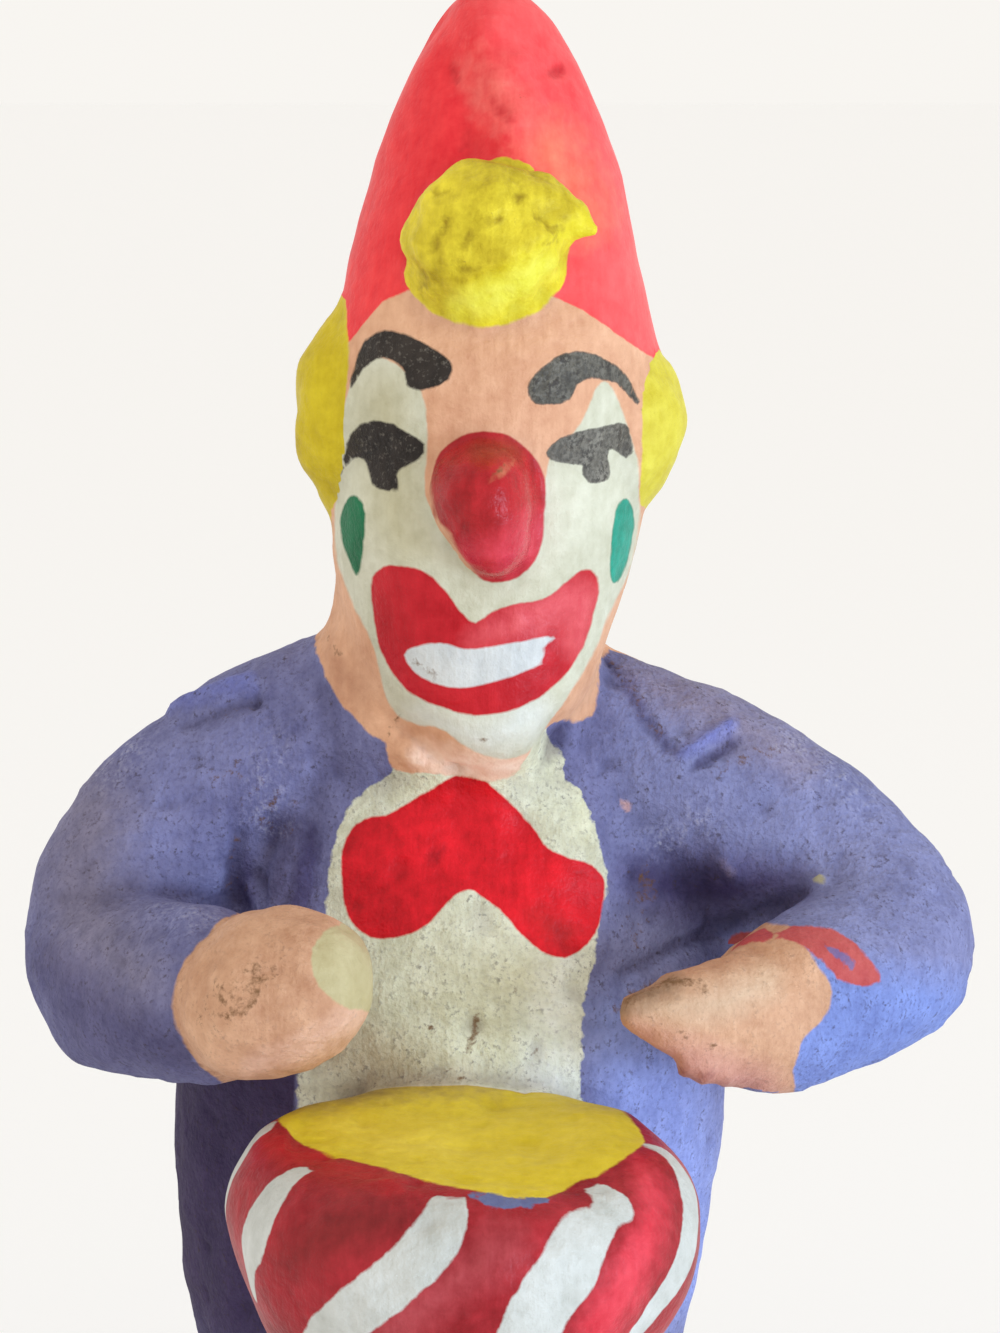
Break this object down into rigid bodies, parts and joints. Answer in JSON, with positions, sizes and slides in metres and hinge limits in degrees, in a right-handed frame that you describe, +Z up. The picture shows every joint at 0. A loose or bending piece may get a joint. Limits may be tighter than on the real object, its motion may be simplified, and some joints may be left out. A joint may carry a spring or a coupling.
{
  "type": "clown figurine",
  "caption": "Hand-modelled painted clay clown in a tall hat and long coat, playing a drum held at the belly, standing on a low oval base.",
  "frame": {"origin": "centre of the base's flat underside", "axes": "+Z up the figure, -Y the way the face looks, +X towards the figure's left hand"},
  "size_m": [0.081, 0.0762, 0.1656],
  "materials": {
    "painted_clay": "matt paint, the nose and hat slightly glossy"
  },
  "bodies": {
    "root": {"clown_figure": "painted_clay"}
  },
  "joints": []
}
